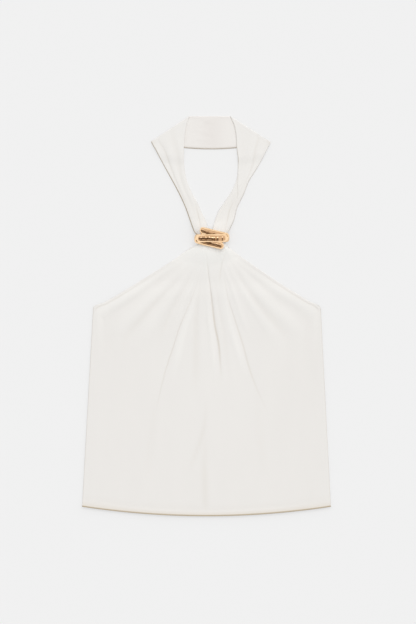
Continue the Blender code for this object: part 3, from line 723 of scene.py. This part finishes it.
def strap(side, sections, creases, seed):
    s_rows = grid_rows(STRAP_ROWS, STRAP_S, STRAP_LAST_ROWS)
    left_x, left_y, right_x, right_y = read_rows(sections, s_rows)
    half = np.hypot(right_x - left_x, right_y - left_y) / 2.0
    line = smooth_curve(s_rows, STRAP_STATIONS, creases[0][2]) / half
    line = np.clip(line, -STRAP_LINE_LIMIT, STRAP_LINE_LIMIT)
    u = grid_columns(half, STRAP_RIM, [line], STRAP_COLUMNS)
    s = np.repeat(s_rows[:, None], u.shape[1], axis=1)
    x = spread(left_x, right_x, u)
    y = spread(left_y, right_y, u)
    _, end_away, left_away, right_away = side_distances(x, y)
    edge_away = np.minimum(left_away, right_away)

    in_bore = np.clip((x - RING_X) / THROAT_HALF_WIDTH, -1.0, 1.0)
    in_ring = falling(s, *THROAT_END)
    across = in_bore * in_ring + u * (1.0 - in_ring)
    folds, pale, painted_shade = crease_field(creases, STRAP_STATIONS, u * half[:, None], s)
    relief = arch(STRAP_LIFT, across, s) + folds + ripples(u, s, reach=36.0, height=0.3, seed=seed)
    relief += soft_waves(x, y, height=0.08, seed=seed)
    plump = smooth_curve(s, PLUMP_STATIONS, PLUMP_HEIGHTS)
    relief = above_zero(relief) + plump * np.exp(-(edge_away / PLUMP_REACH) ** 2)

    level = (WALL + GAP) * rising(y - band_low_edge(x), *ONTO_THE_BAND)
    under = level + relief
    top = wall_top(x, y, under, s)
    low = filled_underside(top, under, s)
    closed = falling(edge_away, *STRAP_CLOSING) * rising(s, *CLOSING_GROWTH)
    low = low + (level - low) * closed
    thick = top - low
    rolls = [roll(away, thick, reach, STRAP_SIDE_FALL) * rising(s, *ROLL_GROWTH)
             for away, reach in zip((left_away, right_away), STRAP_ROLLS[side])]
    top = top - np.maximum.reduce((*rolls, roll(end_away, thick, *STRAP_END_ROLL)))

    # Painted shade along the strap's edges, at its outer corner and near the ring; ridges get painted
    # highlight.
    left_shade, right_shade = (smooth_curve(s, SHADE_STATIONS, shades) for shades in STRAP_SHADES[side])
    outer_away = left_away if side == "left" else right_away
    corner = CORNER_SHADE[0] * np.exp(-(np.hypot(end_away, outer_away) / CORNER_SHADE[1]) ** 2)
    near_ring = RING_SIDE_SHADE[0] * np.exp(-(s / RING_SIDE_SHADE[1]) ** 4)
    painted_shade = np.maximum.reduce((painted_shade + near_ring, edge_shade(left_away, left_shade, 2.0),
                              edge_shade(right_away, right_shade), corner))
    return shell("strap_" + side + "_cloth", x, y, low, top, STRAP_WHITENESS + pale, painted_shade)


def neck_band():
    u, v = np.meshgrid(2.0 * even_shares((0.0, 0.0015, 0.005), 0.01, 150) - 1.0,
                       even_shares((0.0, 0.006, 0.018, 0.036), 0.06, 60))
    along = (u + 1.0) / 2.0
    low_x, _ = between(BAND_LEFT, BAND_RIGHT, along)
    x, y = between((low_x, band_low_edge(low_x)), between(BAND_TOP_LEFT, BAND_TOP_RIGHT, along), v)
    wrinkles = np.zeros_like(u)
    for _, u_left, u_right, up, height, half_width in BAND_WRINKLES:
        reach = rising(u, u_left, WRINKLE_END) * falling(u, u_right - WRINKLE_END, WRINKLE_END)
        across = np.clip(np.abs(v - up) / half_width, 0.0, 1.0)
        wrinkles += height * reach * (0.5 + 0.5 * np.cos(math.pi * across))
    left_cover = smooth_curve(y, [row[5] for row in LEFT_STRAP], [row[4] for row in LEFT_STRAP])
    right_cover = smooth_curve(y, [row[3] for row in RIGHT_STRAP], [row[2] for row in RIGHT_STRAP])
    shows = np.minimum(rising(x - left_cover, COVER_CLEARANCE, BAND_SLOPES[0]),
                       rising(right_cover - x, COVER_CLEARANCE, BAND_SLOPES[1]))
    away = side_distances(x, y)
    edge = np.minimum.reduce(away)
    top = WALL + (BAND_PLUMP + wrinkles * rising(edge, *WRINKLE_EDGE)) * shows
    top = top - np.maximum(roll(away[0], top, *BAND_LOW_ROLL), roll(edge, WALL, *BAND_ROLL))
    middle, width = BAND_MIDDLE
    # Paler at the band's sides; painted shade along its low edge.
    layers = BAND_WHITENESS * (1.0 - np.exp(-((x - middle) / width) ** 2)) * rising(edge, *BAND_EDGE)
    return shell("neck_band_cloth", x, y, np.zeros_like(u), top, layers, edge_shade(away[0], *BAND_SHADE))


# ---- the ring ----
def select_points(made, wanted):
    """Selects the points that wanted accepts, and leaves the object in edit mode."""
    mode("EDIT")
    bpy.ops.mesh.select_mode(type="VERT")
    bpy.ops.mesh.select_all(action="DESELECT")
    mode("OBJECT")
    for vert in made.data.vertices:
        vert.select = bool(wanted(made.matrix_world @ vert.co / MM))
    mode("EDIT")


def narrow(share):
    """Draws the selected points together along Y, towards the ring's middle."""
    bpy.ops.transform.resize(value=(1.0, share, 1.0), center_override=(RING_X * MM, RING_Y * MM, 0.0))


def ring_loop():
    """An oval section is spun round one end, drawn along the back, spun round the other end and
    joined up along the front. The front is then swelled and the back bar narrowed."""
    mean_radius = (RING_DEPTH - LOOP_CROWN - LOOP_WALL) / 2.0
    straight = RING_WIDTH - 2.0 * mean_radius - LOOP_WALL
    middle_z = mean_radius + LOOP_WALL / 2.0
    right_end = ((RING_X + straight / 2.0) * MM, RING_Y * MM, middle_z * MM)
    left_end = ((RING_X - straight / 2.0) * MM, RING_Y * MM, middle_z * MM)
    bpy.ops.mesh.primitive_circle_add(
        vertices=LOOP_POINTS, radius=1.0, fill_type="NOTHING", rotation=(0.0, math.pi / 2.0, 0.0),
        location=(right_end[0], right_end[1], (middle_z + mean_radius) * MM))
    loop = bpy.context.active_object
    loop.name = "ring_casting"
    loop.scale = (LOOP_WALL / 2.0 * MM, BAND_HEIGHT / 2.0 * MM, 1.0)
    bpy.ops.object.transform_apply()
    mode("EDIT")
    bpy.ops.mesh.select_all(action="SELECT")
    for centre, way in ((right_end, -1.0), (left_end, 1.0)):
        bpy.ops.mesh.spin(steps=END_STEPS, angle=math.pi, axis=(0.0, -1.0, 0.0), center=centre)
        for _ in range(STRAIGHT_STEPS):
            bpy.ops.mesh.extrude_edges_move(
                TRANSFORM_OT_translate={"value": (way * straight / STRAIGHT_STEPS * MM, 0.0, 0.0)})
    bpy.ops.mesh.select_all(action="SELECT")
    bpy.ops.mesh.remove_doubles(threshold=MERGE * MM)
    bpy.ops.mesh.normals_make_consistent(inside=False)
    for ceiling in BACK_BAR_STEPS:
        select_points(loop, lambda p: p.z < ceiling)
        narrow(BACK_BAR_SHARE ** (1.0 / len(BACK_BAR_STEPS)))
    for reach, share in END_ROUNDING:
        select_points(loop, lambda p: abs(p.x - RING_X) > reach)
        narrow(share)
    for share in CROWN_STEPS:
        reach = RING_WIDTH / 2.0 * (1.0 - share)
        select_points(loop, lambda p: p.z > middle_z + 1.0 and abs(p.x - RING_X) < reach)
        bpy.ops.transform.translate(value=(0.0, 0.0, LOOP_CROWN / len(CROWN_STEPS) * MM))
    mode("OBJECT")
    return loop


def ring_bar(side):
    """A ball is drawn out into a bar with round ends, flattened, turned and leant under the band."""
    length = math.hypot(BAR_REACH, BAR_RISE)
    bpy.ops.mesh.primitive_uv_sphere_add(segments=32, ring_count=25, radius=BAR_WIDTH / 2.0 * MM,
                                         location=(0.0, 0.0, 0.0), rotation=(0.0, math.pi / 2.0, 0.0))
    bar = bpy.context.active_object
    bpy.ops.object.transform_apply(location=False, rotation=True, scale=False)
    for way in (-1.0, 1.0):
        select_points(bar, lambda p: p.x * way > 0.01)
        bpy.ops.transform.translate(value=(way * length / 2.0 * MM, 0.0, 0.0))
        mode("OBJECT")
    lean = math.radians(BAR_LEAN)
    turn = -math.atan2(BAR_RISE, BAR_REACH) + (0.0 if side > 0.0 else math.pi)
    bar.scale = (1.0, 1.0, BAR_THICK / BAR_WIDTH)
    bar.rotation_euler = (0.0, lean, turn)
    bar.location = ((RING_X + side * (BAR_TIP[0] + BAR_REACH / 2.0)) * MM,
                    (RING_Y + side * (BAR_TIP[1] - BAR_RISE / 2.0)) * MM,
                    (RING_DEPTH - BAR_TOP_GAP - BAR_THICK / 2.0 - length / 2.0 * math.sin(lean)) * MM)
    only(bar)
    bpy.ops.object.transform_apply()
    return bar


def ring_casting():
    loop = ring_loop()
    bars = [ring_bar(1.0), ring_bar(-1.0)]
    only(loop)
    for bar in bars:
        bar.select_set(True)
    bpy.ops.object.join()
    fuse = loop.modifiers.new("fuse", "REMESH")
    fuse.mode = "VOXEL"
    fuse.voxel_size = FUSE_SIZE * MM
    bpy.ops.object.modifier_apply(modifier=fuse.name)
    polish = loop.modifiers.new("polish", "SMOOTH")
    polish.iterations = POLISH_ROUNDS
    bpy.ops.object.modifier_apply(modifier=polish.name)
    melt = bpy.data.textures.new("melt", "CLOUDS")
    melt.noise_scale = MELT_SIZE * MM
    melt.noise_depth = 1
    swell = loop.modifiers.new("swell", "DISPLACE")
    swell.texture = melt
    swell.texture_coords = "LOCAL"
    swell.strength = MELT_DEPTH * MM
    bpy.ops.object.modifier_apply(modifier=swell.name)
    loop.data.shade_smooth()
    return loop


# ---- finishes ----
def feed(tree, node, values):
    """Sets sockets of a node to numbers and colours, or links other sockets to them."""
    for key, value in values.items():
        if isinstance(value, (int, float, tuple)):
            node.inputs[key].default_value = value
        elif value is not None:
            tree.links.new(value, node.inputs[key])


def add(tree, kind, values=None):
    node = tree.nodes.new("ShaderNode" + kind)
    feed(tree, node, values or {})
    return node


def new_group(name, inputs, outputs):
    group = bpy.data.node_groups.new(name, "ShaderNodeTree")
    for key, value in inputs.items():
        kind = "NodeSocketColor" if isinstance(value, tuple) else "NodeSocketFloat"
        socket = group.interface.new_socket(name=key, in_out="INPUT", socket_type=kind)
        socket.default_value = value
    for key, kind in outputs.items():
        group.interface.new_socket(name=key, in_out="OUTPUT", socket_type=kind)
    return group, group.nodes.new("NodeGroupInput"), group.nodes.new("NodeGroupOutput")


def new_finish(name):
    made = bpy.data.materials.new(name)
    made.use_nodes = True
    return made, made.node_tree, made.node_tree.nodes["Principled BSDF"]


def maths(tree, operation, first, second=None, third=None, clamp=False):
    node = add(tree, "Math")
    node.operation = operation
    node.use_clamp = clamp
    feed(tree, node, dict(enumerate((first, second, third))))
    return node.outputs[0]


def mix(tree, factor, first, second, blend="MIX"):
    node = add(tree, "Mix")
    node.data_type = "RGBA"
    node.blend_type = blend
    places = [place for place, socket in enumerate(node.inputs) if socket.enabled]
    feed(tree, node, dict(zip(places, (factor, first, second))))
    return next(socket for socket in node.outputs if socket.enabled)


def noise(tree, place, scale, detail, roughness=0.5):
    values = {"Vector": place, "Scale": scale, "Detail": detail, "Roughness": roughness}
    return add(tree, "TexNoise", values).outputs["Fac"]


def bumped(tree, height, strength, distance):
    values = {"Height": height, "Strength": strength, "Distance": distance * MM}
    return add(tree, "Bump", values).outputs["Normal"]


def crepe_group():
    """Fine crepe: a pebbled grain with faint slubs, whiter with the whitening and its painted light,
    and with painted shade in its creases and along its edges."""
    group, given, made = new_group(
        "crepe grain",
        {"Grain": CREPE_GRAIN, "Colour": (*CREPE, 1.0), "Paler colour": (*CREPE_PALER, 1.0),
         "Painted shade colour": (*CREPE_PAINTED_SHADE, 1.0), "Layers": 0.0, "Crease": 0.0},
        {"Colour": "NodeSocketColor", "Height": "NodeSocketFloat", "Roughness": "NodeSocketFloat"})
    place = add(group, "TexCoord").outputs["Object"]
    pebble = noise(group, place, given.outputs["Grain"], 3.0, 0.6)
    stretch = add(group, "Mapping", {"Vector": place, "Scale": SLUB_STRETCH})
    slub = noise(group, stretch.outputs["Vector"], CREPE_SLUBS, 4.0)
    level = maths(group, "MULTIPLY_ADD", slub, *SLUB_SHADE)
    shade = add(group, "CombineColor", {"Red": level, "Green": level, "Blue": level})
    # The whitening mixes in the paler crepe: painted light near the ring and painted highlight on ridges.
    whitened = mix(group, given.outputs["Layers"], given.outputs["Colour"], given.outputs["Paler colour"])
    varied = mix(group, 1.0, whitened, shade.outputs["Color"], "MULTIPLY")
    # Painted shade in creases and along edges.
    colour = mix(group, given.outputs["Crease"], varied, given.outputs["Painted shade colour"])
    roughness = maths(group, "MULTIPLY_ADD", pebble, *CREPE_ROUGHNESS)
    feed(group, made, {"Colour": colour, "Height": pebble, "Roughness": roughness})
    return group


def cloth_finish(name, grain, colour):
    made, tree, shader = new_finish(name)
    cloth = add(tree, "Group")
    cloth.node_tree = grain
    cloth.inputs["Colour"].default_value = (*colour, 1.0)
    # Attributes: the whitening with its painted light, and the painted shade.
    for key in ("Layers", "Crease"):
        kept = add(tree, "Attribute")
        kept.attribute_name = key.lower()
        tree.links.new(kept.outputs["Fac"], cloth.inputs[key])
    feed(tree, shader, {
        "Base Color": cloth.outputs["Colour"],
        "Roughness": cloth.outputs["Roughness"],
        "Normal": bumped(tree, cloth.outputs["Height"], *CREPE_BUMP),
        "Specular IOR Level": 0.25,
        "Sheen Weight": 0.08,
        "Sheen Roughness": 0.5,
    })
    return made


def gold_finish():
    """Polished plating with cloudy deeper patches and a faint orange-peel surface."""
    made, tree, shader = new_finish("polished_gold")
    cloud = noise(tree, add(tree, "TexCoord").outputs["Object"], GOLD_CLOUDS, 3.0)
    ramp = add(tree, "ValToRGB", {"Fac": cloud})
    for stop, position, colour in zip(ramp.color_ramp.elements, GOLD_STOPS, (GOLD_DEEP, GOLD)):
        stop.position = position
        stop.color = (*colour, 1.0)
    feed(tree, shader, {
        "Base Color": ramp.outputs["Color"],
        "Roughness": maths(tree, "MULTIPLY_ADD", cloud, *GOLD_ROUGHNESS),
        "Normal": bumped(tree, cloud, *GOLD_BUMP),
        "Metallic": 1.0,
    })
    return made


def table_finish():
    """Matt paper. To the camera most of its brightness is even, as on a retouched cut-out."""
    made, tree, paper = new_finish("pale_table")
    feed(tree, paper, {"Base Color": (*TABLE, 1.0), "Roughness": 1.0, "Specular IOR Level": 0.0})
    glow = add(tree, "Emission", {"Color": (PAPER_WHITE, PAPER_WHITE, PAPER_WHITE, 1.0)})
    share = maths(tree, "MULTIPLY", add(tree, "LightPath").outputs["Is Camera Ray"], PAPER_SHARE)
    both = add(tree, "MixShader", {0: share, 1: paper.outputs[0], 2: glow.outputs[0]})
    tree.links.new(both.outputs[0], tree.nodes["Material Output"].inputs["Surface"])
    return made


# ---- the studio ----
def set_table():
    bpy.ops.mesh.primitive_plane_add(size=TABLE_SIZE, location=(0.0, 0.0, TABLE_DROP * MM))
    table = bpy.context.active_object
    table.name = "pale_floor"
    table.data.materials.append(table_finish())


def set_key():
    bpy.ops.object.light_add(type="SUN", location=KEY_FROM)
    key = bpy.context.active_object
    key.name = "key_light"
    key.data.energy = KEY_POWER
    key.data.angle = math.radians(KEY_SPREAD)
    key.rotation_euler = key.location.to_track_quat("Z", "Y").to_euler()
    key.visible_glossy = False


def smooth_mask(tree, value, start, end):
    """1 where value is past end, 0 before start, and smooth between. start may be above end."""
    node = add(tree, "MapRange")
    node.interpolation_type = "SMOOTHSTEP"
    feed(tree, node, {"Value": value, "From Min": start, "From Max": end})
    return node.outputs["Result"]


def set_room():
    """A pale room, brighter on the far right. Polished metal sees a dark rig overhead that holds two
    strip lights, and the rig is paler to the right and beyond the far strip."""
    world = bpy.data.worlds.new("studio")
    bpy.context.scene.world = world
    world.use_nodes = True
    tree = world.node_tree

    def times(first, second):
        return maths(tree, "MULTIPLY", first, second)

    place = add(tree, "TexCoord").outputs["Generated"]
    across, along, up = add(tree, "SeparateXYZ", {"Vector": place}).outputs
    in_gold = add(tree, "LightPath").outputs["Is Glossy Ray"]

    side = maths(tree, "ADD", times(across, FILL_TOWARDS[0]), times(along, FILL_TOWARDS[1]))
    fill_range, fill_middle = (FILL_BRIGHT - FILL_DARK) / 2.0, (FILL_BRIGHT + FILL_DARK) / 2.0
    fill = maths(tree, "MULTIPLY_ADD", side, fill_range, fill_middle)

    tilt = maths(tree, "DIVIDE", along, maths(tree, "MAXIMUM", up, 0.1))
    aside = maths(tree, "ABSOLUTE", maths(tree, "ADD", across, -LAMP_PLACE))
    rig = smooth_mask(tree, up, *RIG_EDGE)
    strip, low_strip = (times(smooth_mask(tree, tilt, *near), smooth_mask(tree, tilt, *far))
                        for near, far in (STRIP_EDGES, LOW_STRIP_EDGES))
    beside = maths(tree, "MAXIMUM", smooth_mask(tree, across, *BESIDE_RIGHT),
                   smooth_mask(tree, tilt, *BESIDE_FAR))
    lamp = maths(tree, "MULTIPLY_ADD", smooth_mask(tree, aside, *LAMP_EDGE), LAMP_MIDDLE, LAMP_ENDS)
    lamp_seen = maths(tree, "MULTIPLY_ADD", beside, LAMP_BESIDE, lamp)
    low_lamp = times(smooth_mask(tree, across, *LOW_LAMP_EDGE), LOW_LAMP)
    lights = maths(tree, "ADD", times(strip, lamp_seen), times(low_strip, low_lamp))
    depth = maths(tree, "MULTIPLY_ADD", beside, RIG_BESIDE, RIG_DEPTH)
    seen = maths(tree, "SUBTRACT", ROOM_SEEN, times(rig, maths(tree, "SUBTRACT", depth, lights)))

    bright = add(tree, "Mix", {"Factor": in_gold, "A": fill, "B": seen}).outputs["Result"]
    unlit = times(maths(tree, "SUBTRACT", 1.0, lights, clamp=True),
                  maths(tree, "MULTIPLY_ADD", beside, TINT_BESIDE, 1.0))
    dark_rig = times(times(rig, in_gold), unlit)
    tint = mix(tree, dark_rig, (1.0, 1.0, 1.0, 1.0), RIG_TINT)
    feed(tree, tree.nodes["Background"], {"Color": tint, "Strength": bright})


def set_camera():
    camera = bpy.data.cameras.new("camera")
    camera.sensor_width = SENSOR
    camera.lens = SENSOR * CAMERA_PLACE[2] / FRAME_TALL
    camera.clip_start = 0.1
    camera.clip_end = 100.0
    placed = bpy.data.objects.new("camera", camera)
    placed.location = [value * MM for value in CAMERA_PLACE]
    bpy.context.scene.collection.objects.link(placed)
    bpy.context.scene.camera = placed


def main():
    set_camera()
    set_table()
    set_key()
    set_room()
    bpy.context.scene.view_settings.view_transform = "Standard"
    grain = crepe_group()
    crepe = cloth_finish("white_crepe", grain, CREPE)
    crepe_inside = cloth_finish("white_crepe_inside", grain, CREPE_INSIDE)
    cloth = [
        # piece, node, finish, how it is held, what it rests on
        (back_panel(), "back", crepe, "laid", ["pale_floor"]),
        (front_panel(), "front", crepe, "gathered", ["back_panel", "pale_floor"]),
        (neck_band(), "neck_band", crepe_inside, "laid", ["pale_floor"]),
        (strap("left", LEFT_STRAP, LEFT_STRAP_CREASES, 0.9), "strap_left", crepe, "gathered",
         ["neck_band_cloth", "pale_floor"]),
        (strap("right", RIGHT_STRAP, RIGHT_STRAP_CREASES, 2.2), "strap_right", crepe, "gathered",
         ["neck_band_cloth", "pale_floor"]),
    ]
    for piece, node, finish, held, rests_on in cloth:
        piece.data.materials.append(finish)
        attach(piece, "root")
        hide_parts(node)
    ring = ring_casting()
    ring.data.materials.append(gold_finish())
    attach(ring, "root")
    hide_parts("ring")


main()
